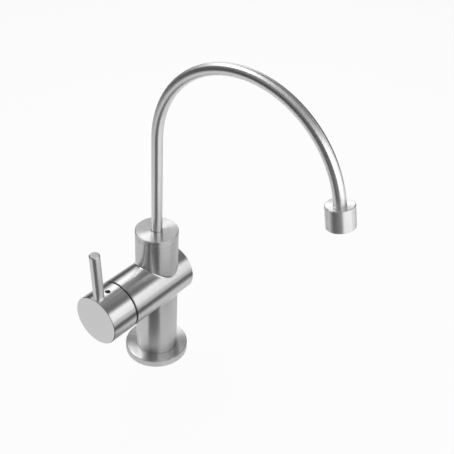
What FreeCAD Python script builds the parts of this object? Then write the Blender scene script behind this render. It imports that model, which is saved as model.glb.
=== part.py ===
import FreeCAD, Part
import os
from math import cos, radians, sin, tan

# Single lever kitchen mixer tap: a column with a side barrel, a pin lever and a slim swivelling gooseneck.
# Millimetres, Z up. The origin is on the column's axis, on the deck that the tap stands on.
# The barrel lies along Y with the handle towards -Y, and the spout reaches towards +X.

Vector = FreeCAD.Vector

# Outside of the tap
COLUMN_D = 40.0  # column and neck, one diameter
FLANGE_MARGIN = 10.5  # flange beyond the column, all round
FLANGE_T = 7.0
FLANGE_EDGE_R = 1.2
BARREL_STEP = 3.75  # barrel's radius beyond the column's
BARREL_Z = 88.0  # barrel axis above the deck
BARREL_TAIL = 5.5  # closed end behind the column
NECK_RISE = 57.0  # barrel axis to the top of the collar
BLEND_R = 1.2  # blend where column and neck run into the barrel
EDGE_BREAK = 0.5  # chamfer on turned edges that show

# Foot of the column
FOOT_SHOULDER = 2.0  # column beyond the foot that centres the flange
FOOT_WALL = 2.5  # foot round the hose block
SEAL_EDGE = 3.5  # flange's rim to its seal
SEAL_W = 5.0
SEAL_T = 3.0
HOSE_BLOCK_L = 24.0
HOSE_GASKET_T = 2.0
HOSE_SPACING = 15.0  # between the two hose threads
HOSE_THREAD_D = 9.0  # core of M10x1
HOSE_THREAD_L = 12.0
STUD_THREAD_D = 6.8  # core of M8
STUD_THREAD_L = 20.0
STUD_EDGE = 1.6  # hose block's side to the stud thread
WATERWAY_D = 7.0

# Spout
TUBE_D = 10.0
TUBE_WALL = 1.0
TUBE_RISE = 95.0  # straight run above the collar
SPOUT_R = 91.0  # bend radius at the tube's middle
SPOUT_SWEEP = 168.5  # degrees of bend

# Swivel joint in the neck
COLLAR_T = 4.4
COLLAR_SKIRT_L = 8.5
COLLAR_LIP_T = 2.0
COLLAR_HOLE_GAP = 0.4  # dark ring round the tube's foot
COLLAR_SEAM = 0.2  # chamfer on each side of the hairline between collar and neck
NECK_WALL = 5.0
SWIVEL_BUSH_WALL = 3.0
THRUST_WASHER_T = 1.0
SPIGOT_FLANGE_T = 3.0
SPIGOT_D = 18.0
SPIGOT_L = 18.0
SPIGOT_END_GAP = 1.0
TUBE_SOCKET_L = 12.0
O_RING_T = 2.0
O_RING_GROOVE_W = 2.6
O_RING_PITCH = 5.0
O_RING_COUNT = 2
SPIGOT_TIP_L = 4.0  # spigot's end to the lowest seal's middle

# Nozzle
NOZZLE_D = 23.5
NOZZLE_L = 19.0
NOZZLE_WALL = 2.5
NOZZLE_SOCKET_L = 7.2
NOZZLE_WEB_T = 1.0
AERATOR_RECESS = 0.8
AERATOR_SEAL_T = 1.5
AERATOR_WALL = 1.5
AERATOR_STEP_T = 1.2
AERATOR_STEP_W = 1.2
GRID_T = 1.2
GRID_HOLE_D = 2.0
GRID_PITCH = 2.6
SCREEN_T = 0.8
SCREEN_HOLE_D = 1.1
SCREEN_PITCH = 1.7
HOLE_EDGE = 0.1  # least rim outside a grid of holes
JET_HOLE_D = 1.3
JET_INSET = 2.2  # step's edge to the circle of jets
JET_COUNT = 12

# Handle
HANDLE_GAP = 1.5  # seam between barrel and drum
HANDLE_TRAVEL = 100.0  # degrees from shut to full hot
DRUM_L = 28.3
DRUM_WALL = 3.25
DRUM_POCKET_T = 5.0
LEVER_D = 9.6
LEVER_TIP = 73.0  # barrel axis to the lever's tip
LEVER_LEAN = 3.5  # degrees outwards
LEVER_EDGE = 0.7  # lever's side to the drum's face
LEVER_TIP_BREAK = 0.9
LEVER_STUD_D = 6.0
LEVER_STUD_L = 11.0
GRUB_D = 5.0
GRUB_L = 8.0
GRUB_FROM_FACE = 16.2
GRUB_KEY = 2.5
GRUB_KEY_T = 3.0

# Mixing cartridge, from its base to its front
CHAMBER_FLOOR = 14.0  # in front of the column axis
CHAMBER_GAP = 0.75  # round the cartridge
CARTRIDGE_BASE_T = 7.0
GASKET_T = 2.0
GASKET_LAND = 1.5
PEG_D = 2.5
PEG_L = 3.0
PEG_EDGE = 0.6
PORT_D = 6.0
PORT_LAND = 1.5  # disc outside the ports
PORT_SPREAD = 50.0  # degrees between the cold and the hot port
OUTLET_D = 7.0
FIXED_DISC_T = 4.5
FIXED_DISC_SEAT = 2.0
MOVING_DISC_T = 4.5
MOVING_DISC_GAP = 1.8  # to the housing's wall
MIX_POOL_T = 2.0  # depth of the mixing hollow
CARRIER_T = 5.0
CARRIER_GAP = 1.3  # to the housing's wall
CARRIER_LUG_W = 4.0
CARRIER_LUG_T = 2.0
HOUSING_D = 35.0
HOUSING_WALL = 2.2
HOUSING_FRONT_T = 4.0
HOUSING_NECK_D = 18.0
HOUSING_NECK_L = 6.0
SPINDLE_D = 10.0
SPINDLE_PAST_GRUB = 7.5
SPINDLE_FLAT = 0.7  # depth of the flat under the grub screw
SPINDLE_FLAT_L = 11.0
SPINDLE_FLANGE_D = 21.0
SPINDLE_FLANGE_T = 3.0
SPINDLE_TANG_W = 5.0
SPINDLE_TANG_T = 2.5
STOP_ARM = 30.0  # degrees across the stop arm
STOP_SLACK = 1.0  # degrees to spare at each stop
NUT_T = 8.0
NUT_GAP = 1.0  # round the housing's neck
NUT_SLOT_W = 4.0
NUT_SLOT_T = 2.5
NUT_SLOTS = 4
NUT_TO_LIP = 1.0  # nut's front to the glide ring's lip
GLIDE_RING_INSET = 1.0
GLIDE_RING_WALL = 1.7
GLIDE_RING_LIP = 1.6

# Clearances, on the radius or along the axis
RUN_FIT = 0.05
SCREW_FIT = 0.05
SEAT_FIT = 0.1
AXIAL_PLAY = 0.05
DISC_FILM = 0.02
CLEAR = 0.4
THROUGH = 1.0  # overrun of a cutting tool

# Diameters that follow from these
flange_d = COLUMN_D + 2.0 * FLANGE_MARGIN
foot_d = COLUMN_D - 2.0 * FOOT_SHOULDER
seal_outer = flange_d - 2.0 * SEAL_EDGE
seal_inner = seal_outer - 2.0 * SEAL_W
hose_block_d = foot_d - 2.0 * FOOT_WALL
barrel_d = COLUMN_D + 2.0 * BARREL_STEP
neck_bore = COLUMN_D - 2.0 * NECK_WALL
tube_bore = TUBE_D - 2.0 * TUBE_WALL
bush_bore = TUBE_D + 2.0 * RUN_FIT
bush_d = bush_bore + 2.0 * SWIVEL_BUSH_WALL
aerator_thread = NOZZLE_D - 2.0 * NOZZLE_WALL
aerator_bore = aerator_thread - 2.0 * SCREW_FIT - 2.0 * AERATOR_WALL
aerator_step = aerator_bore - 2.0 * AERATOR_STEP_W
chamber_d = HOUSING_D + 2.0 * CHAMBER_GAP
cavity_d = HOUSING_D - 2.0 * HOUSING_WALL
fixed_disc_d = cavity_d - 2.0 * CLEAR
moving_disc_d = cavity_d - 2.0 * MOVING_DISC_GAP
carrier_d = cavity_d - 2.0 * CARRIER_GAP
port_radius = moving_disc_d / 2.0 - PORT_LAND - PORT_D / 2.0
gasket_d = 2.0 * port_radius + PORT_D + 2.0 * GASKET_LAND

# Distances forward from the column axis, along the barrel
base_front = CHAMBER_FLOOR + CARTRIDGE_BASE_T
fixed_back = base_front - FIXED_DISC_SEAT
fixed_front = fixed_back + FIXED_DISC_T
moving_back = fixed_front + DISC_FILM
moving_front = moving_back + MOVING_DISC_T
carrier_front = moving_front + CARRIER_T
spindle_front = carrier_front + SPINDLE_FLANGE_T
cavity_front = spindle_front + AXIAL_PLAY
nut_back = cavity_front + HOUSING_FRONT_T
nut_front = nut_back + NUT_T
barrel_front = nut_front + NUT_TO_LIP + GLIDE_RING_LIP
barrel_rear = -COLUMN_D / 2.0 - BARREL_TAIL
drum_back = barrel_front + HANDLE_GAP
drum_face = drum_back + DRUM_L
pocket_floor = drum_back + DRUM_POCKET_T
grub_at = drum_face - GRUB_FROM_FACE
spindle_tip = grub_at + SPINDLE_PAST_GRUB
spindle_seal = nut_back + HOUSING_NECK_L / 2.0
grub_seat = SPINDLE_D / 2.0 - SPINDLE_FLAT

# Places in the foot
hose_xs = [-HOSE_SPACING / 2.0, HOSE_SPACING / 2.0]
stud_back = hose_block_d / 2.0 - STUD_EDGE - STUD_THREAD_D / 2.0
gasket_top = HOSE_BLOCK_L + HOSE_GASKET_T

# Heights up the neck
collar_top = BARREL_Z + NECK_RISE
neck_top = collar_top - COLLAR_T
skirt_bottom = neck_top - COLLAR_SKIRT_L
spigot_top = skirt_bottom - THRUST_WASHER_T - AXIAL_PLAY
spigot_flange = spigot_top - SPIGOT_FLANGE_T
neck_floor = spigot_flange - AXIAL_PLAY - THRUST_WASHER_T
spigot_bottom = spigot_flange - SPIGOT_L
spigot_floor = spigot_bottom - SPIGOT_END_GAP
bend_start = collar_top + TUBE_RISE
spigot_seals = [spigot_bottom + SPIGOT_TIP_L + k * O_RING_PITCH for k in range(O_RING_COUNT)]

# Distances down the nozzle from its top
aerator_top = NOZZLE_SOCKET_L + NOZZLE_WEB_T
screen_top = aerator_top + AERATOR_SEAL_T
screen_bottom = screen_top + SCREEN_T
aerator_bottom = NOZZLE_L - AERATOR_RECESS
grid_top = aerator_bottom - GRID_T
step_top = grid_top - AERATOR_STEP_T

# Angles seen from the front, from +X towards +Z; opening the tap turns the moving pieces down
cold_angle = 270.0 + PORT_SPREAD / 2.0
hot_angle = 270.0 - PORT_SPREAD / 2.0
lobe_shut_angle = hot_angle + HANDLE_TRAVEL
stop_arm_angle = 90.0 + HANDLE_TRAVEL / 2.0
stop_reach = (HANDLE_TRAVEL + STOP_ARM) / 2.0 + STOP_SLACK


def rod(diameter, low, high, x=0.0, y=0.0):
    """A round bar along Z."""
    return Part.makeCylinder(diameter / 2.0, high - low, Vector(x, y, low))


def ring(outer, inner, low, high):
    """A plain ring round Z."""
    return rod(outer, low, high).cut(rod(inner, low - THROUGH, high + THROUGH))


def block(width, depth, low, high, x=0.0, y=0.0):
    """A box centred on (x, y)."""
    return Part.makeBox(width, depth, high - low, Vector(x - width / 2.0, y - depth / 2.0, low))


def sector(outer, low, high, start, end):
    """A wedge of a round bar between two angles."""
    wedge = Part.makeCylinder(outer / 2.0, high - low, Vector(0, 0, low), Vector(0, 0, 1), end - start)
    return wedge.rotate(Vector(0, 0, 0), Vector(0, 0, 1), start)


def on_circle(radius, angle):
    """The point at an angle on a circle round Z."""
    return radius * cos(radians(angle)), radius * sin(radians(angle))


def hexagon_bar(across_flats, low, high):
    """A hexagonal bar along Z."""
    corner = across_flats / 2.0 / cos(radians(30.0))
    points = [Vector(*on_circle(corner, 60.0 * k), low) for k in range(7)]
    return Part.Face(Part.makePolygon(points)).extrude(Vector(0, 0, high - low))


def hole_grid(diameter, pitch, reach, low, high):
    """Round holes on a hexagonal grid, with as many rings as stay inside a radius."""
    rings = int((reach - HOLE_EDGE - diameter / 2.0) / pitch)
    holes = []
    for column in range(-rings, rings + 1):
        for row in range(max(-rings, -column - rings), min(rings, rings - column) + 1):
            x = pitch * (column + row / 2.0)
            y = pitch * row * sin(radians(60.0))
            holes.append(rod(diameter, low - THROUGH, high + THROUGH, x, y))
    return Part.makeCompound(holes)


def rims(shape, radius, height):
    """The circular edges of one radius at one height."""
    def is_rim(edge):
        curve = edge.Curve
        is_round = isinstance(curve, Part.Circle) and abs(curve.Radius - radius) < 1e-6
        return is_round and abs(curve.Center.z - height) < 1e-6
    return [edge for edge in shape.Edges if is_rim(edge)]


def turned_rod(diameter, low, high, low_break=EDGE_BREAK, high_break=EDGE_BREAK):
    """A round bar with a chamfer at each end that has one."""
    bar = rod(diameter, low, high)
    for height, size in ((low, low_break), (high, high_break)):
        if size:
            bar = bar.makeChamfer(size, rims(bar, diameter / 2.0, height))
    return bar


def placed(shape, origin, rotation):
    """A copy of a shape, turned and then moved."""
    moved = shape.copy()
    moved.Placement = FreeCAD.Placement(origin, rotation).multiply(moved.Placement)
    return moved


def along_barrel(shape):
    """Lays a shape made along Z on the barrel's axis, with Z towards the handle and Y up."""
    return placed(shape, Vector(0, 0, BARREL_Z), FreeCAD.Rotation(Vector(1, 0, 0), 90.0))


def at_nozzle(shape):
    """Lays a shape made along Z on the spout's outlet, with Z down the stream."""
    x = SPOUT_R * (1.0 - cos(radians(SPOUT_SWEEP)))
    z = bend_start + SPOUT_R * sin(radians(SPOUT_SWEEP))
    return placed(shape, Vector(x, 0, z), FreeCAD.Rotation(Vector(0, 1, 0), SPOUT_SWEEP))


def at_lever(shape):
    """Lays a shape made along Z on the lever's middle line, with Z counted from the barrel's axis."""
    lean = radians(LEVER_LEAN)
    at_surface = drum_face - LEVER_EDGE - LEVER_D / 2.0 / cos(lean)
    foot = Vector(0, 0, at_surface - barrel_d / 2.0 * tan(lean))
    return placed(shape, foot, FreeCAD.Rotation(Vector(0, 0, 1), Vector(0, cos(lean), sin(lean))))


def at_grub(shape):
    """Lays a shape made along Z on the grub screw's middle line, with Z counted from the barrel's axis."""
    return placed(shape, Vector(0, 0, grub_at), FreeCAD.Rotation(Vector(1, 0, 0), -90.0))


def o_ring(outer, height):
    """A round seal of a given outside diameter."""
    return Part.makeTorus(outer / 2.0 - O_RING_T / 2.0, O_RING_T / 2.0, Vector(0, 0, height))


def o_ring_groove(outer, height):
    """The groove for that seal in a bar of the same diameter."""
    floor = outer - 2.0 * O_RING_T - 2.0 * RUN_FIT
    half = O_RING_GROOVE_W / 2.0
    return ring(outer + 2.0 * THROUGH, floor, height - half, height + half)


def base_flange():
    flange = rod(flange_d, 0, FLANGE_T)
    flange = flange.makeFillet(FLANGE_EDGE_R, rims(flange, flange_d / 2.0, FLANGE_T))
    return flange.cut([
        rod(foot_d + 2.0 * SEAT_FIT, -THROUGH, FLANGE_T + THROUGH),
        ring(seal_outer + 2.0 * SEAT_FIT, seal_inner - 2.0 * SEAT_FIT, -THROUGH, SEAL_T)])


def deck_seal():
    return ring(seal_outer, seal_inner, 0, SEAL_T)


def waterways(low, high):
    """Cutting tools for the cold and hot waterways up the column."""
    return [rod(WATERWAY_D, low, high, x) for x in hose_xs]


def hose_block():
    """Plug in the column's foot, with the threads for two hoses and the fixing stud."""
    threads = [rod(HOSE_THREAD_D, -THROUGH, HOSE_THREAD_L, x) for x in hose_xs]
    threads.append(rod(STUD_THREAD_D, -THROUGH, STUD_THREAD_L, 0, stud_back))
    plug = rod(hose_block_d - 2.0 * SCREW_FIT, 0, HOSE_BLOCK_L)
    return plug.cut(threads + waterways(0, HOSE_BLOCK_L + THROUGH))


def hose_gasket():
    disc = rod(hose_block_d - 2.0 * SEAT_FIT, HOSE_BLOCK_L, gasket_top)
    return disc.cut(waterways(HOSE_BLOCK_L - THROUGH, gasket_top + THROUGH))


def body_outside():
    """Foot, column, barrel and neck as one solid, blended where they cross."""
    column = turned_rod(COLUMN_D, FLANGE_T, neck_top, high_break=COLLAR_SEAM)
    upright = column.fuse(rod(foot_d, 0, FLANGE_T + THROUGH))
    barrel = along_barrel(turned_rod(barrel_d, barrel_rear, barrel_front))
    outside = barrel.fuse(upright).removeSplitter()

    def is_crossing(edge):
        middle = edge.valueAt((edge.FirstParameter + edge.LastParameter) / 2.0)
        from_column = (middle.x ** 2 + middle.y ** 2) ** 0.5
        from_barrel = (middle.x ** 2 + (middle.z - BARREL_Z) ** 2) ** 0.5
        return abs(from_column - COLUMN_D / 2.0) < 1e-3 and abs(from_barrel - barrel_d / 2.0) < 1e-3
    return outside.makeFillet(BLEND_R, [edge for edge in outside.Edges if is_crossing(edge)])


def port_bars(low, high):
    """Cutting tools for the outlet in the middle and the cold and hot ports below it."""
    bars = [rod(OUTLET_D, low, high)]
    for angle in (cold_angle, hot_angle):
        bars.append(rod(PORT_D, low, high, *on_circle(port_radius, angle)))
    return bars


def pegs(grow, low, high):
    """The two pegs that keep the cartridge from turning, grown by a clearance for their holes."""
    x = HOUSING_D / 2.0 - PEG_EDGE - PEG_D / 2.0
    return [rod(PEG_D + 2.0 * grow, low, high, side * x) for side in (-1.0, 1.0)]


def valve_body():
    """Column, barrel and neck, with the cartridge's chamber and the drilled waterways."""
    port_height = BARREL_Z + on_circle(port_radius, cold_angle)[1]
    upright_cuts = [
        rod(neck_bore, neck_floor, neck_top + THROUGH),
        rod(SPIGOT_D + 2.0 * RUN_FIT, spigot_floor, neck_floor + THROUGH),
        rod(OUTLET_D, BARREL_Z, spigot_floor + THROUGH),
        rod(hose_block_d, -THROUGH, gasket_top),
        *waterways(HOSE_BLOCK_L, port_height + PORT_D / 2.0)]
    barrel_cuts = [rod(chamber_d, CHAMBER_FLOOR, barrel_front + THROUGH)]
    barrel_cuts += port_bars(0, CHAMBER_FLOOR + THROUGH)
    barrel_cuts += pegs(SEAT_FIT, CHAMBER_FLOOR - PEG_L - CLEAR, CHAMBER_FLOOR + THROUGH)
    return body_outside().cut(upright_cuts + [along_barrel(cut) for cut in barrel_cuts])


def neck_collar():
    """Gland nut that holds the spout down; its head is the ring on top of the neck."""
    head = turned_rod(COLUMN_D, neck_top, collar_top, low_break=COLLAR_SEAM)
    skirt = rod(neck_bore - 2.0 * SCREW_FIT, skirt_bottom, neck_top)
    return head.fuse(skirt).removeSplitter().cut([
        rod(TUBE_D + 2.0 * COLLAR_HOLE_GAP, skirt_bottom, collar_top + THROUGH),
        rod(bush_d + 2.0 * SEAT_FIT, skirt_bottom - THROUGH, collar_top - COLLAR_LIP_T)])


def swivel_bush():
    return ring(bush_d, bush_bore, skirt_bottom, collar_top - COLLAR_LIP_T)


def thrust_washer(low):
    return ring(neck_bore - 2.0 * SEAT_FIT, SPIGOT_D + 2.0 * CLEAR, low, low + THRUST_WASHER_T)


def spout_spigot():
    """Flanged foot that the tube is brazed into; it turns in the neck."""
    spigot = rod(neck_bore - 2.0 * CLEAR, spigot_flange, spigot_top)
    spigot = spigot.fuse(rod(SPIGOT_D, spigot_bottom, spigot_top)).removeSplitter()
    return spigot.cut([
        rod(tube_bore, spigot_bottom - THROUGH, spigot_top + THROUGH),
        rod(TUBE_D + 2.0 * SCREW_FIT, spigot_top - TUBE_SOCKET_L, spigot_top + THROUGH),
        *[o_ring_groove(SPIGOT_D, height) for height in spigot_seals]])


def spigot_o_rings():
    return Part.makeCompound([o_ring(SPIGOT_D, height) for height in spigot_seals])


def spout_tube():
    """Straight rise, one round bend and a short straight end in the nozzle."""
    rise = ring(TUBE_D, tube_bore, spigot_top - TUBE_SOCKET_L, bend_start)
    section = Part.makeFace([
        Part.Wire(Part.makeCircle(TUBE_D / 2.0, Vector(0, 0, bend_start))),
        Part.Wire(Part.makeCircle(tube_bore / 2.0, Vector(0, 0, bend_start)))], "Part::FaceMakerBullseye")
    bend = section.revolve(Vector(SPOUT_R, 0, bend_start), Vector(0, 1, 0), SPOUT_SWEEP)
    tail = at_nozzle(ring(TUBE_D, tube_bore, 0, NOZZLE_SOCKET_L))
    return rise.fuse([bend, tail]).removeSplitter()


def nozzle_shell():
    shell = turned_rod(NOZZLE_D, 0, NOZZLE_L)
    return at_nozzle(shell.cut([
        rod(TUBE_D + 2.0 * SCREW_FIT, -THROUGH, NOZZLE_SOCKET_L),
        rod(tube_bore, 0, NOZZLE_L),
        rod(aerator_thread, aerator_top, NOZZLE_L + THROUGH)]))


def aerator_seal():
    return at_nozzle(ring(aerator_thread - 2.0 * SEAT_FIT, aerator_step, aerator_top, screen_top))


def aerator_screen():
    disc = rod(aerator_bore - 2.0 * SEAT_FIT, screen_top, screen_bottom)
    holes = hole_grid(SCREEN_HOLE_D, SCREEN_PITCH, aerator_step / 2.0, screen_top, screen_bottom)
    return at_nozzle(disc.cut(holes))


def jet_former():
    """Thick disc whose small holes split the stream into jets."""
    disc = rod(aerator_bore - 2.0 * SEAT_FIT, screen_bottom, step_top)
    jets = []
    for k in range(JET_COUNT):
        x, y = on_circle(aerator_step / 2.0 - JET_INSET, 360.0 * k / JET_COUNT)
        jets.append(rod(JET_HOLE_D, screen_bottom - THROUGH, step_top + THROUGH, x, y))
    return at_nozzle(disc.cut(jets))


def aerator_carrier():
    """Threaded ring that holds the screen and the jets, with a honeycomb outlet."""
    carrier = rod(aerator_thread - 2.0 * SCREW_FIT, screen_top, aerator_bottom)
    return at_nozzle(carrier.cut([
        rod(aerator_bore, screen_top - THROUGH, step_top),
        rod(aerator_step, screen_top, grid_top),
        hole_grid(GRID_HOLE_D, GRID_PITCH, aerator_step / 2.0, grid_top, aerator_bottom)]))


def handle_drum():
    """Drum on the spindle, with the lever's thread and the grub screw's hole in its top."""
    drum = turned_rod(barrel_d, drum_back, drum_face)
    stud_floor = barrel_d / 2.0 - LEVER_STUD_L - CLEAR
    return along_barrel(drum.cut([
        rod(barrel_d - 2.0 * DRUM_WALL, drum_back - THROUGH, pocket_floor),
        rod(SPINDLE_D + 2.0 * RUN_FIT, drum_back, spindle_tip + CLEAR),
        at_lever(rod(LEVER_STUD_D + 2.0 * SCREW_FIT, stud_floor, barrel_d)),
        at_grub(rod(GRUB_D, 0, barrel_d))]))


def lever_pin():
    """Plain bar with a broken tip; its foot is hollowed to sit on the drum, and a thread holds it."""
    shaft = at_lever(turned_rod(LEVER_D, 0, LEVER_TIP, low_break=0, high_break=LEVER_TIP_BREAK))
    shaft = shaft.cut(rod(barrel_d, drum_back, drum_face))
    stud = at_lever(rod(LEVER_STUD_D, barrel_d / 2.0 - LEVER_STUD_L, barrel_d / 2.0 + LEVER_D / 2.0))
    return along_barrel(shaft.fuse(stud).removeSplitter())


def handle_grub_screw():
    top = grub_seat + GRUB_L
    screw = rod(GRUB_D - 2.0 * SCREW_FIT, grub_seat, top)
    return along_barrel(at_grub(screw.cut(hexagon_bar(GRUB_KEY, top - GRUB_KEY_T, top + THROUGH))))


def glide_ring():
    """Black ring that fills the seam behind the drum, with a lip in the barrel's mouth."""
    lip_outer = chamber_d - 2.0 * SEAT_FIT
    bore = lip_outer - 2.0 * GLIDE_RING_WALL
    flange = ring(barrel_d - 2.0 * GLIDE_RING_INSET, bore, barrel_front, drum_back - 2.0 * AXIAL_PLAY)
    lip = ring(lip_outer, bore, barrel_front - GLIDE_RING_LIP, barrel_front)
    return along_barrel(flange.fuse(lip).removeSplitter())


def cartridge_nut():
    nut = ring(chamber_d - 2.0 * SCREW_FIT, HOUSING_NECK_D + 2.0 * NUT_GAP, nut_back, nut_front)
    slots = []
    for k in range(NUT_SLOTS):
        slot = block(chamber_d, NUT_SLOT_W, nut_front - NUT_SLOT_T, nut_front + THROUGH, chamber_d / 2.0)
        slots.append(slot.rotate(Vector(0, 0, 0), Vector(0, 0, 1), 360.0 * k / NUT_SLOTS))
    return along_barrel(nut.cut(slots))


def cartridge_housing():
    """Cup with a neck for the spindle and a stop on each side of the spindle's arm."""
    neck_end = nut_back + HOUSING_NECK_L
    cup = rod(HOUSING_D, base_front, nut_back).fuse(rod(HOUSING_NECK_D, nut_back, neck_end)).removeSplitter()
    cup = cup.cut(rod(cavity_d, base_front - THROUGH, cavity_front))
    stop = sector(cavity_d, carrier_front, cavity_front, 90.0 + stop_reach, 450.0 - stop_reach)
    stop = stop.cut(rod(SPINDLE_FLANGE_D + 2.0 * CLEAR, carrier_front - THROUGH, cavity_front + THROUGH))
    bore = rod(SPINDLE_D + 2.0 * RUN_FIT, base_front, neck_end + THROUGH)
    return along_barrel(cup.fuse(stop).removeSplitter().cut(bore))


def cartridge_spindle():
    """Stem with a stop arm, a tang for the disc carrier and a flat for the grub screw."""
    start = stop_arm_angle - STOP_ARM / 2.0
    stem = rod(SPINDLE_D, carrier_front, spindle_tip).fuse([
        rod(SPINDLE_FLANGE_D, carrier_front, spindle_front),
        sector(cavity_d - 2.0 * CLEAR, carrier_front, spindle_front, start, start + STOP_ARM),
        block(SPINDLE_FLANGE_D - 2.0 * CLEAR, SPINDLE_TANG_W, carrier_front - SPINDLE_TANG_T, carrier_front)])
    flat_low = grub_at - SPINDLE_FLAT_L / 2.0
    flat = block(SPINDLE_D, SPINDLE_D, flat_low, flat_low + SPINDLE_FLAT_L, 0, grub_seat + SPINDLE_D / 2.0)
    return along_barrel(stem.removeSplitter().cut([flat, o_ring_groove(SPINDLE_D, spindle_seal)]))


def spindle_o_ring():
    return along_barrel(o_ring(SPINDLE_D, spindle_seal))


def carrier_lugs(grow):
    """The two lugs that drive the moving disc, grown by a clearance for their notches."""
    low = moving_front - CARRIER_LUG_T - grow
    width = CARRIER_LUG_W + 2.0 * grow
    lugs = []
    for side in (-1.0, 1.0):
        y = side * (moving_disc_d - CARRIER_LUG_W) / 2.0
        lugs.append(block(width, width, low, moving_front, 0, y).common(rod(moving_disc_d, low, moving_front)))
    return lugs


def disc_carrier():
    slot_low = carrier_front - SPINDLE_TANG_T
    slot = block(carrier_d, SPINDLE_TANG_W + 2.0 * SEAT_FIT, slot_low, carrier_front + THROUGH)
    carrier = rod(carrier_d, moving_front, carrier_front).fuse(carrier_lugs(0.0)).removeSplitter()
    return along_barrel(carrier.cut(slot))


def moving_disc():
    """Ceramic disc with a hollow that leads the cold port, both ports or the hot port to the outlet."""
    half = PORT_SPREAD / 2.0
    low = moving_back - THROUGH
    high = moving_back + MIX_POOL_T
    lobe = sector(2.0 * port_radius + PORT_D, low, high, lobe_shut_angle - half, lobe_shut_angle + half)
    pool = rod(OUTLET_D, low, high).fuse(lobe).removeSplitter()
    return along_barrel(rod(moving_disc_d, moving_back, moving_front).cut([pool] + carrier_lugs(SEAT_FIT)))


def fixed_disc():
    disc = rod(fixed_disc_d, fixed_back, fixed_front)
    return along_barrel(disc.cut(port_bars(fixed_back - THROUGH, fixed_front + THROUGH)))


def cartridge_base():
    """Plate that seats the fixed disc and holds the gasket against the chamber's floor."""
    plate = rod(HOUSING_D, CHAMBER_FLOOR, base_front)
    plate = plate.fuse(pegs(0.0, CHAMBER_FLOOR - PEG_L, base_front)).removeSplitter()
    return along_barrel(plate.cut([
        *port_bars(CHAMBER_FLOOR - THROUGH, base_front + THROUGH),
        rod(fixed_disc_d + 2.0 * SEAT_FIT, fixed_back, base_front + THROUGH),
        rod(gasket_d + 2.0 * SEAT_FIT, CHAMBER_FLOOR - THROUGH, CHAMBER_FLOOR + GASKET_T)]))


def port_gasket():
    top = CHAMBER_FLOOR + GASKET_T
    return along_barrel(rod(gasket_d, CHAMBER_FLOOR, top).cut(port_bars(CHAMBER_FLOOR - THROUGH, top + THROUGH)))


NODES = {
    "base_flange": base_flange(),
    "deck_seal": deck_seal(),
    "hose_block": hose_block(),
    "hose_gasket": hose_gasket(),
    "valve_body": valve_body(),
    "neck_collar": neck_collar(),
    "swivel_bush": swivel_bush(),
    "upper_thrust_washer": thrust_washer(skirt_bottom - THRUST_WASHER_T),
    "lower_thrust_washer": thrust_washer(neck_floor),
    "spout_spigot": spout_spigot(),
    "spigot_o_rings": spigot_o_rings(),
    "spout_tube": spout_tube(),
    "nozzle_shell": nozzle_shell(),
    "aerator_seal": aerator_seal(),
    "aerator_screen": aerator_screen(),
    "jet_former": jet_former(),
    "aerator_carrier": aerator_carrier(),
    "handle_drum": handle_drum(),
    "lever_pin": lever_pin(),
    "handle_grub_screw": handle_grub_screw(),
    "glide_ring": glide_ring(),
    "cartridge_nut": cartridge_nut(),
    "cartridge_housing": cartridge_housing(),
    "cartridge_spindle": cartridge_spindle(),
    "spindle_o_ring": spindle_o_ring(),
    "disc_carrier": disc_carrier(),
    "moving_disc": moving_disc(),
    "fixed_disc": fixed_disc(),
    "cartridge_base": cartridge_base(),
    "port_gasket": port_gasket(),
}

os.makedirs("parts", exist_ok=True)
for name, shape in NODES.items():
    shape.exportStep(f"parts/{name}.step")
    print(f"{name}: {len(shape.Solids)} solid, valid {shape.isValid()}, {shape.Volume / 1000.0:.2f} cm3")
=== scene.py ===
import math

import bpy
import numpy as np
from mathutils import Matrix, Vector


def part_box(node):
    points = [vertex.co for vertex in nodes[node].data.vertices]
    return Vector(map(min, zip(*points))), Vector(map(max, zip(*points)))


# Kitchen mixer tap in brushed stainless steel, in metres and in the frame of its solids: the column stands on Z,
# the barrel lies along Y with the handle towards -Y, and the spout reaches towards +X.
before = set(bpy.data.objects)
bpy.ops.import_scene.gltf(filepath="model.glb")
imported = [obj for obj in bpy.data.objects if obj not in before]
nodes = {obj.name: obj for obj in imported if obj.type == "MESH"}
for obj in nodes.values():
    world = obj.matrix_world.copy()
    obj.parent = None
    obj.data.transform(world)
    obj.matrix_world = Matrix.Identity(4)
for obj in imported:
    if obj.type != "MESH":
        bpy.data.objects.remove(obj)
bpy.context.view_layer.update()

MM = 0.001
ALONG_BARREL = Vector((0, 1, 0))
ACROSS = Vector((1, 0, 0))
UP = Vector((0, 0, 1))

# Axes that the pieces were turned on, from the solids' own boxes and the tap's two angles
SPOUT_SWEEP = math.radians(168.5)
LEVER_LEAN = math.radians(3.5)
TUBE_R = 5.0 * MM
drum_low, drum_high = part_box("handle_drum")
tube_low, tube_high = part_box("spout_tube")
lever_low, lever_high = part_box("lever_pin")
column_foot = Vector((0, 0, 0))
barrel_centre = Vector((0, 0, (drum_low.z + drum_high.z) / 2))
barrel_r = (drum_high.x - drum_low.x) / 2
bend_r = (tube_high.x - TUBE_R - tube_low.x - TUBE_R) / 2
bend_centre = Vector((bend_r, 0, tube_high.z - TUBE_R - bend_r))
outlet = bend_centre + bend_r * Vector((-math.cos(SPOUT_SWEEP), 0, math.sin(SPOUT_SWEEP)))
stream = Vector((math.sin(SPOUT_SWEEP), 0, math.cos(SPOUT_SWEEP)))
lever_axis = Vector((0, -math.sin(LEVER_LEAN), math.cos(LEVER_LEAN)))
lever_r = (lever_high.x - lever_low.x) / 2
lever_tip = Vector((0, lever_low.y + lever_r * math.cos(LEVER_LEAN), lever_high.z))

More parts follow.
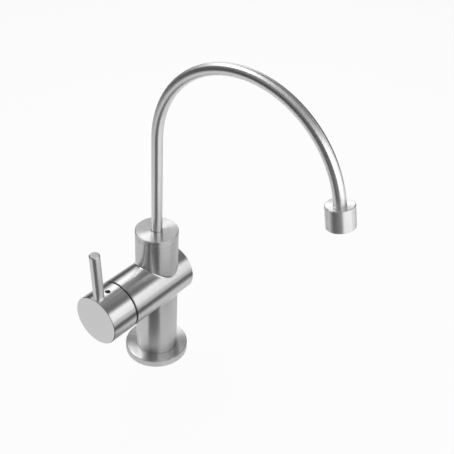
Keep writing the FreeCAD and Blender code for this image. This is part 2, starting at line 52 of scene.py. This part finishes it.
# Where one finish on a piece gives way to another, and how much smoother the second one is
WELD_START = 0.4 * MM  # out from the barrel's skin
WELD_MIDDLE = 0.65 * MM  # out from the barrel's skin
WELD_HALF_WIDTH = 0.6 * MM
WELD_COARSENESS = 0.55
FACE_SKIN = 0.1 * MM  # back from the front of the drum
FACE_COARSENESS = 0.6
TIP_SKIN = 1.0 * MM  # down from the top of the lever

# Sizes in the finishes. Brushed lines are about 0.1 mm wide, and are drawn wider here so that they show
FINE_LINE = 0.4 * MM
BROAD_LINE = 1.6 * MM
BELT_PATCH = 25 * MM  # uneven pressure of the belt
CLOUD = 6 * MM  # faint clouding of moulded and lapped pieces
FIBRE = 3 * MM  # mottle of the felt

# White paper: half its width, the radius out to which it is flat, and the height of its edge
PAPER_HALF = 4.2
PAPER_FLAT_R = 2.4
PAPER_EDGE = 1.6
# Its painted pool of light, which fades out between two radii, and the share of plain white in what camera and
# metal see of it
POOL_CENTRE = Vector((0.3, 0.15, 0))
POOL_R = 0.6
POOL_FADE_R = 1.2
WHITE_TO_CAMERA = 0.94
WHITE_TO_METAL = 0.5

# Dark felt of painted shade, seen only in the metal: a piece on the floor, with a paler patch of painted light,
# and a low strip of painted shadow that stands to the right of the barrel
FELT_LIFT = 1 * MM
FRONT_PAINTED_SHADE = [[(0.008, -0.05), (0.062, -0.03)], [(-0.012, -0.22), (0.20, -0.165)], [(0.0, -0.80), (0.80, -0.32)]]
PAINTED_LIGHT_CENTRE = Vector((0.08, -0.24, 0))
PAINTED_LIGHT_R = 0.10
PAINTED_LIGHT_FADE_R = 0.22
SHADOW_STRIP_X = 0.115
SHADOW_STRIP_ENDS = (-0.20, 0.45)
SHADOW_STRIP_TOP = 0.06

# Light that comes from all round
WORLD_GREY = 0.2

# The photograph's camera, found by fitting the tap's edges: place in metres, angles in degrees, lens in mm
CAMERA_PLACE = Vector((0.42297, -0.46630, 0.61125))
CAMERA_AZIMUTH = 36.416
CAMERA_ELEVATION = 36.203
CAMERA_ROLL = 3.598
CAMERA_LENS = 68.03


def linear(hex_colour):
    """The linear RGBA of an sRGB hex colour."""
    parts = [int(hex_colour[k:k + 2], 16) / 255 for k in (1, 3, 5)]
    return [p / 12.92 if p <= 0.04045 else ((p + 0.055) / 1.055) ** 2.4 for p in parts] + [1.0]


def add(tree, kind, inputs=None, out=None, **settings):
    """Adds a node with its settings and its inputs, values or sockets, and returns the output asked for."""
    made = tree.nodes.new(kind)
    for key, value in settings.items():
        setattr(made, key, value)
    for key, value in (inputs or {}).items():
        socket = made.inputs[key] if isinstance(key, int) else next(
            s for s in made.inputs if s.enabled and s.name == key)
        if isinstance(value, bpy.types.NodeSocket):
            tree.links.new(value, socket)
        else:
            socket.default_value = value
    return made.outputs[out] if out else next((s for s in made.outputs if s.enabled), None)


def new_material(name):
    """A material with an empty node tree."""
    material = bpy.data.materials.new(name)
    material.use_nodes = True
    material.node_tree.nodes.clear()
    return material, material.node_tree


# A grain gives the direction of its grooves, the place of a point across them, and the coarseness there.

def turned_round(tree, here, centre, axis):
    """Grooves turned round an axis: their direction, and (distance from the axis, distance along it)."""
    arm = add(tree, "ShaderNodeVectorMath", {0: here, 1: centre}, operation="SUBTRACT")
    groove = add(tree, "ShaderNodeVectorMath", {0: axis, 1: arm}, operation="CROSS_PRODUCT")
    reach = add(tree, "ShaderNodeVectorMath", {0: groove}, operation="LENGTH")
    along = add(tree, "ShaderNodeVectorMath", {0: axis, 1: arm}, operation="DOT_PRODUCT")
    return groove, add(tree, "ShaderNodeCombineXYZ", {"X": reach, "Y": along})


def turned_on(centre, axis):
    """The grain of a piece turned on one axis."""
    return lambda tree, here: (*turned_round(tree, here, centre, axis), 1.0)


def body_grain(tree, here):
    """Grooves round the barrel where a point is no further out than its skin, and round the column elsewhere.

    The rounded weld between the two is dressed finer, so that it draws a bright line.
    """
    barrel_groove, barrel_place = turned_round(tree, here, barrel_centre, ALONG_BARREL)
    column_groove, column_place = turned_round(tree, here, column_foot, UP)
    reach = add(tree, "ShaderNodeSeparateXYZ", {0: barrel_place}, out="X")
    outside = add(tree, "ShaderNodeMath", {0: reach, 1: barrel_r + WELD_START}, operation="GREATER_THAN")
    groove = add(tree, "ShaderNodeMix", {"Factor": outside, "A": barrel_groove, "B": column_groove},
                 data_type="VECTOR")
    place = add(tree, "ShaderNodeMix", {"Factor": outside, "A": barrel_place, "B": column_place},
                data_type="VECTOR")
    on_weld = add(tree, "ShaderNodeMath", {0: reach, 1: barrel_r + WELD_MIDDLE, 2: WELD_HALF_WIDTH},
                  operation="COMPARE")
    return groove, place, add(tree, "ShaderNodeMix", {"Factor": on_weld, "A": 1.0, "B": WELD_COARSENESS})


def drum_grain(tree, here):
    """Grooves round the drum's side, and straight level lines across its front face, which is ground finer."""
    side_groove, side_place = turned_round(tree, here, barrel_centre, ALONG_BARREL)
    x, y, z = add(tree, "ShaderNodeSeparateXYZ", {0: here}, out="X").node.outputs
    on_face = add(tree, "ShaderNodeMath", {0: y, 1: drum_low.y + FACE_SKIN}, operation="LESS_THAN")
    face_place = add(tree, "ShaderNodeCombineXYZ", {"X": z})
    groove = add(tree, "ShaderNodeMix", {"Factor": on_face, "A": side_groove, "B": ACROSS}, data_type="VECTOR")
    place = add(tree, "ShaderNodeMix", {"Factor": on_face, "A": side_place, "B": face_place},
                data_type="VECTOR")
    return groove, place, add(tree, "ShaderNodeMix", {"Factor": on_face, "A": 1.0, "B": FACE_COARSENESS})


def tube_grain(tree, here):
    """Polishing lines round the tube: the straight rise is taken as the bend's start, drawn out downwards."""
    arm = add(tree, "ShaderNodeVectorMath", {0: here, 1: bend_centre}, operation="SUBTRACT")
    x, y, z = add(tree, "ShaderNodeSeparateXYZ", {0: arm}, out="X").node.outputs
    above = add(tree, "ShaderNodeMath", {0: z, 1: 0.0}, operation="MAXIMUM")
    below = add(tree, "ShaderNodeMath", {0: z, 1: 0.0}, operation="MINIMUM")
    inwards = add(tree, "ShaderNodeMath", {0: x, 1: -1.0}, operation="MULTIPLY")
    radial = add(tree, "ShaderNodeCombineXYZ", {"X": x, "Z": above})
    run = add(tree, "ShaderNodeCombineXYZ", {"X": above, "Z": inwards})
    unit = add(tree, "ShaderNodeVectorMath", {0: radial}, operation="NORMALIZE")
    middle = add(tree, "ShaderNodeVectorMath", {0: unit, "Scale": bend_r}, operation="SCALE")
    skin = add(tree, "ShaderNodeCombineXYZ", {"X": x, "Y": y, "Z": above})
    offset = add(tree, "ShaderNodeVectorMath", {0: skin, 1: middle}, operation="SUBTRACT")
    groove = add(tree, "ShaderNodeVectorMath", {0: run, 1: offset}, operation="CROSS_PRODUCT")
    turn = add(tree, "ShaderNodeMath", {0: above, 1: inwards}, operation="ARCTAN2")
    along = add(tree, "ShaderNodeMath", {0: turn, 1: bend_r, 2: below}, operation="MULTIPLY_ADD")
    return groove, add(tree, "ShaderNodeCombineXYZ", {"Y": along}), 1.0


def lever_grain(tree, here):
    """Grooves round the lever, and straight lines from front to back over its tip."""
    side_groove, side_place = turned_round(tree, here, lever_tip, lever_axis)
    along = add(tree, "ShaderNodeSeparateXYZ", {0: side_place}, out="Y")
    on_tip = add(tree, "ShaderNodeMath", {0: along, 1: -TIP_SKIN}, operation="GREATER_THAN")
    x = add(tree, "ShaderNodeSeparateXYZ", {0: here}, out="X")
    tip_place = add(tree, "ShaderNodeCombineXYZ", {"X": x})
    groove = add(tree, "ShaderNodeMix", {"Factor": on_tip, "A": side_groove, "B": ALONG_BARREL},
                 data_type="VECTOR")
    place = add(tree, "ShaderNodeMix", {"Factor": on_tip, "A": side_place, "B": tip_place}, data_type="VECTOR")
    return groove, place, 1.0


def brushed_metal(name, grain, light, dark, roughness, anisotropy, depth):
    """Metal with fine lines of a given depth along its grain, which draw each highlight out across them."""
    material, tree = new_material(name)
    here = add(tree, "ShaderNodeTexCoord", out="Object")
    groove, place, coarseness = grain(tree, here)
    fine = add(tree, "ShaderNodeTexNoise", {"Vector": place, "Scale": 1 / FINE_LINE, "Detail": 2.0},
               noise_dimensions="2D")
    broad = add(tree, "ShaderNodeTexNoise", {"Vector": place, "Scale": 1 / BROAD_LINE, "Detail": 1.0},
                noise_dimensions="2D")
    lines = add(tree, "ShaderNodeMix", {"Factor": 0.5, "A": fine, "B": broad})
    pressure = add(tree, "ShaderNodeTexNoise", {"Vector": here, "Scale": 1 / BELT_PATCH, "Detail": 1.0})
    worked = add(tree, "ShaderNodeMix", {"Factor": 0.3, "A": lines, "B": pressure})
    colour = add(tree, "ShaderNodeMix", {"Factor": worked, "A": linear(dark), "B": linear(light)},
                 data_type="RGBA")
    rough = add(tree, "ShaderNodeMapRange", {"Value": worked, "From Min": 0.3, "From Max": 0.7,
                                             "To Min": roughness - 0.02, "To Max": roughness + 0.02})
    rough = add(tree, "ShaderNodeMath", {0: rough, 1: coarseness}, operation="MULTIPLY")
    relief = add(tree, "ShaderNodeBump", {"Height": lines, "Strength": 0.2, "Distance": depth})
    tangent = add(tree, "ShaderNodeVectorTransform", {0: groove}, vector_type="VECTOR",
                  convert_from="OBJECT", convert_to="WORLD")
    # A quarter turn sets the long way of each highlight across the grooves
    shader = add(tree, "ShaderNodeBsdfPrincipled", {
        "Base Color": colour, "Metallic": 1.0, "Roughness": rough, "Anisotropic": anisotropy,
        "Anisotropic Rotation": 0.25, "Tangent": tangent, "Normal": relief})
    add(tree, "ShaderNodeOutputMaterial", {"Surface": shader})
    return material


def moulded(name, light, dark, roughness, grit, height):
    """Moulded, lapped or blackened surface: faint clouding, and a grit of a given width and height."""
    material, tree = new_material(name)
    here = add(tree, "ShaderNodeTexCoord", out="Object")
    cloud = add(tree, "ShaderNodeTexNoise", {"Vector": here, "Scale": 1 / CLOUD, "Detail": 3.0})
    grains = add(tree, "ShaderNodeTexNoise", {"Vector": here, "Scale": 1 / grit, "Detail": 2.0})
    colour = add(tree, "ShaderNodeMix", {"Factor": cloud, "A": linear(dark), "B": linear(light)},
                 data_type="RGBA")
    rough = add(tree, "ShaderNodeMapRange", {"Value": cloud, "From Min": 0.3, "From Max": 0.7,
                                             "To Min": roughness - 0.06, "To Max": roughness + 0.06})
    relief = add(tree, "ShaderNodeBump", {"Height": grains, "Strength": 0.5, "Distance": height})
    shader = add(tree, "ShaderNodeBsdfPrincipled", {
        "Base Color": colour, "Roughness": rough, "Normal": relief})
    add(tree, "ShaderNodeOutputMaterial", {"Surface": shader})
    return material


def dress(material, *names):
    """Gives CAD nodes one material."""
    for name in names:
        nodes[name].data.materials.clear()
        nodes[name].data.materials.append(material)


def dress_tap():
    """Every node's material, from the steel outside to the ceramic discs inside."""
    # Stainless steel, turned and brushed: pale neutral grey, with long soft highlights across the lines
    steel = {"light": "#e4e4e4", "dark": "#d0d0d0", "roughness": 0.31, "anisotropy": 0.93, "depth": 0.01 * MM}
    dress(brushed_metal("stainless steel, brushed round the column", turned_on(column_foot, UP), **steel),
          "base_flange", "neck_collar")
    dress(brushed_metal("stainless steel, brushed round column and barrel", body_grain, **steel), "valve_body")
    dress(brushed_metal("stainless steel, brushed round the drum", drum_grain, **steel), "handle_drum")
    dress(brushed_metal("stainless steel, pierced screen", turned_on(outlet, stream), **steel),
          "aerator_screen")
    # Stainless steel, polished after turning: brighter bands, and hardly any relief in the lines
    polished = {"light": "#f0f0f0", "dark": "#e4e4e4", "roughness": 0.31, "depth": 0.002 * MM}
    dress(brushed_metal("stainless steel, polished tube", tube_grain, anisotropy=0.8, **polished), "spout_tube")
    dress(brushed_metal("stainless steel, polished lever", lever_grain, anisotropy=0.93, **polished), "lever_pin")
    dress(brushed_metal("stainless steel, polished nozzle", turned_on(outlet, stream), anisotropy=0.93,
                        **polished), "nozzle_shell")
    # Brass, turned and left bare: warm yellow with ring marks
    brass = {"light": "#d8b56c", "dark": "#b98f45", "roughness": 0.34, "anisotropy": 0.6, "depth": 0.01 * MM}
    dress(brushed_metal("brass, turned foot and spigot", turned_on(column_foot, UP), **brass),
          "hose_block", "spout_spigot")
    dress(brushed_metal("brass, turned nut and spindle", turned_on(barrel_centre, ALONG_BARREL), **brass),
          "cartridge_nut", "cartridge_spindle")
    # Hardened steel, black oxide: nearly black, with a dull oily shine
    dress(moulded("hardened steel, black oxide", light="#1d1d1e", dark="#121212", roughness=0.42,
                  grit=0.2 * MM, height=0.004 * MM), "handle_grub_screw")
    # Nitrile rubber, moulded: matt black with a fine sandy skin
    dress(moulded("nitrile rubber, moulded", light="#1c1c1b", dark="#131312", roughness=0.72,
                  grit=0.25 * MM, height=0.02 * MM),
          "deck_seal", "hose_gasket", "spigot_o_rings", "aerator_seal", "spindle_o_ring", "port_gasket")
    # Acetal: waxy black where it was turned from bar, milk white where it was moulded
    dress(moulded("black acetal, turned", light="#0e0e0e", dark="#080808", roughness=0.5,
                  grit=0.3 * MM, height=0.006 * MM), "glide_ring", "swivel_bush")
    dress(moulded("white acetal, moulded", light="#eae9e4", dark="#dddcd6", roughness=0.42,
                  grit=0.4 * MM, height=0.008 * MM),
          "upper_thrust_washer", "lower_thrust_washer", "disc_carrier")
    # ABS, moulded: even mid grey with a fine spark-eroded skin
    dress(moulded("grey ABS, moulded", light="#8e9193", dark="#808386", roughness=0.5,
                  grit=0.3 * MM, height=0.012 * MM),
          "jet_former", "aerator_carrier", "cartridge_housing", "cartridge_base")
    # Alumina, sintered and lapped: ivory white and smooth
    dress(moulded("alumina, lapped", light="#f0ede4", dark="#e6e2d6", roughness=0.2,
                  grit=0.15 * MM, height=0.002 * MM), "moving_disc", "fixed_disc")


def softbox(name, azimuth, elevation, distance, width, height, radiance):
    """A rectangular lamp of one radiance, turned to the middle of the tap's body."""
    a, e = math.radians(azimuth), math.radians(elevation)
    towards = Vector((math.cos(e) * math.cos(a), math.cos(e) * math.sin(a), math.sin(e)))
    turn = towards.to_track_quat("Z", "Y").to_matrix()
    lamp = bpy.data.lights.new(name, "AREA")
    lamp.shape = "RECTANGLE"
    lamp.size = width
    lamp.size_y = height
    lamp.energy = radiance * math.pi * width * height
    holder = bpy.data.objects.new(name, lamp)
    holder.matrix_world = Matrix.Translation(barrel_centre + distance * towards) @ turn.to_4x4()
    bpy.context.scene.collection.objects.link(holder)


def stage_grid(name, points, material):
    """A stage surface from a grid of points, as an array of rows, columns and three coordinates."""
    rows, columns = points.shape[:2]
    corner = np.arange(rows * columns).reshape(rows, columns)
    faces = np.stack([corner[:-1, :-1], corner[1:, :-1], corner[1:, 1:], corner[:-1, 1:]], axis=-1)
    mesh = bpy.data.meshes.new(name)
    mesh.from_pydata(points.reshape(-1, 3).tolist(), [], faces.reshape(-1, 4).tolist())
    mesh.materials.append(material)
    mesh.shade_smooth()
    made = bpy.data.objects.new(name, mesh)
    bpy.context.scene.collection.objects.link(made)
    return made


def pale_paper():
    """Matt white paper: shown as plain white, with a share left for the tap's shadow.

    In the metal its painted pool of light shows as half white, and its colour is painted to grey further out.
    """
    material, tree = new_material("white paper, matt")
    here = add(tree, "ShaderNodeTexCoord", out="Object")
    reach = add(tree, "ShaderNodeVectorMath", {0: here, 1: POOL_CENTRE}, operation="DISTANCE")
    pool = add(tree, "ShaderNodeMapRange", {"Value": reach, "From Min": POOL_FADE_R, "From Max": POOL_R},
               interpolation_type="SMOOTHSTEP")
    rays = add(tree, "ShaderNodeLightPath", out="Is Camera Ray").node.outputs
    mirrored = add(tree, "ShaderNodeMath", {0: rays["Is Glossy Ray"], 1: rays["Is Transmission Ray"]},
                   operation="MAXIMUM")
    mirrored = add(tree, "ShaderNodeMath", {0: mirrored, 1: pool}, operation="MULTIPLY")
    mirrored = add(tree, "ShaderNodeMath", {0: mirrored, 1: WHITE_TO_METAL}, operation="MULTIPLY")
    share = add(tree, "ShaderNodeMath", {0: rays["Is Camera Ray"], 1: WHITE_TO_CAMERA, 2: mirrored},
                operation="MULTIPLY_ADD")
    # Painted light: the paper's colour is white inside the pool and grey further out
    colour = add(tree, "ShaderNodeMix", {"Factor": pool, "A": linear("#a0a0a0"), "B": linear("#f7f7f7")},
                 data_type="RGBA")
    matt = add(tree, "ShaderNodeBsdfDiffuse", {"Color": colour})
    white = add(tree, "ShaderNodeEmission", {"Color": linear("#ffffff"), "Strength": 1.0})
    shown = add(tree, "ShaderNodeMixShader", {0: share, 1: matt, 2: white})
    add(tree, "ShaderNodeOutputMaterial", {"Surface": shown})
    return material


def painted_shade_felt():
    """Charcoal felt of painted shade: dull dark grey with a faint mottle of its fibres, and a paler patch of
    painted light by the lever.
    """
    material, tree = new_material("charcoal felt of painted shade")
    here = add(tree, "ShaderNodeTexCoord", out="Object")
    fibres = add(tree, "ShaderNodeTexNoise", {"Vector": here, "Scale": 1 / FIBRE, "Detail": 2.0})
    away = add(tree, "ShaderNodeVectorMath", {0: here, 1: PAINTED_LIGHT_CENTRE}, operation="DISTANCE")
    # Painted light: a paler patch in the felt's painted shade, blended with the fibres' mottle
    painted_light = add(tree, "ShaderNodeMapRange", {"Value": away, "From Min": PAINTED_LIGHT_FADE_R, "From Max": PAINTED_LIGHT_R})
    painted_light_and_fibres = add(tree, "ShaderNodeMix", {"Factor": 0.25, "A": painted_light, "B": fibres})
    colour = add(tree, "ShaderNodeMix", {"Factor": painted_light_and_fibres, "A": linear("#3a3a3a"), "B": linear("#909090")},
                 data_type="RGBA")
    dull = add(tree, "ShaderNodeBsdfDiffuse", {"Color": colour})
    add(tree, "ShaderNodeOutputMaterial", {"Surface": dull})
    return material


def studio():
    """White paper under and around the tap, softboxes left, right and behind, and dark felt of painted shade for
    the dark bands in the metal.
    """
    # Paper: flat out to a radius, then rising as half the square of the distance beyond it
    side = np.linspace(-PAPER_HALF, PAPER_HALF, 85)
    x, y = np.meshgrid(side, side, indexing="ij")
    beyond = np.maximum(np.hypot(x, y) - PAPER_FLAT_R, 0.0)
    stage_grid("paper", np.stack([x, y, np.minimum(0.5 * beyond ** 2, PAPER_EDGE)], axis=-1), pale_paper())

    # Painted shade: the felt only darkens what the metal mirrors, and the camera and the floor don't see it
    felt = painted_shade_felt()
    front = np.pad(np.array(FRONT_PAINTED_SHADE), ((0, 0), (0, 0), (0, 1)), constant_values=FELT_LIFT)
    # Painted shadow: the low strip stands in for the tap's shadow on the floor beside the barrel, as the metal
    # sees it
    shadow_strip = np.array([[(SHADOW_STRIP_X, end, z) for end in SHADOW_STRIP_ENDS] for z in (FELT_LIFT, SHADOW_STRIP_TOP)])
    for made in (stage_grid("front_painted_shade", front, felt), stage_grid("right_painted_shadow", shadow_strip, felt)):
        made.visible_camera = False
        made.visible_diffuse = False
        made.visible_shadow = False
        made.visible_transmission = False

    softbox("key", azimuth=178, elevation=57, distance=1.2, width=0.85, height=0.55, radiance=2.9)
    softbox("right", azimuth=-10, elevation=21, distance=1.2, width=1.25, height=0.85, radiance=1.7)
    softbox("right_back", azimuth=34, elevation=15, distance=1.25, width=0.9, height=1.0, radiance=0.86)
    softbox("behind", azimuth=130, elevation=25, distance=1.4, width=0.9, height=0.6, radiance=1.4)
    softbox("overhead", azimuth=250, elevation=80, distance=1.3, width=1.0, height=1.0, radiance=0.3)

    world = bpy.data.worlds.new("grey studio")
    world.use_nodes = True
    background = world.node_tree.nodes["Background"]
    background.inputs["Color"].default_value = (WORLD_GREY, WORLD_GREY, WORLD_GREY, 1)
    bpy.context.scene.world = world


def photo_camera():
    """The photograph's camera: turned up and round to its place, then rolled."""
    camera = bpy.data.cameras.new("camera")
    camera.lens = CAMERA_LENS
    camera.clip_start = 0.01
    azimuth, elevation = math.radians(CAMERA_AZIMUTH), math.radians(CAMERA_ELEVATION)
    back = Vector((math.sin(azimuth) * math.cos(elevation), -math.cos(azimuth) * math.cos(elevation),
                   math.sin(elevation)))
    turn = back.to_track_quat("Z", "Y").to_matrix() @ Matrix.Rotation(math.radians(CAMERA_ROLL), 3, "Z")
    holder = bpy.data.objects.new("camera", camera)
    holder.matrix_world = Matrix.Translation(CAMERA_PLACE) @ turn.to_4x4()
    bpy.context.scene.collection.objects.link(holder)
    bpy.context.scene.camera = holder


dress_tap()
studio()
photo_camera()
bpy.context.scene.view_settings.view_transform = "Standard"
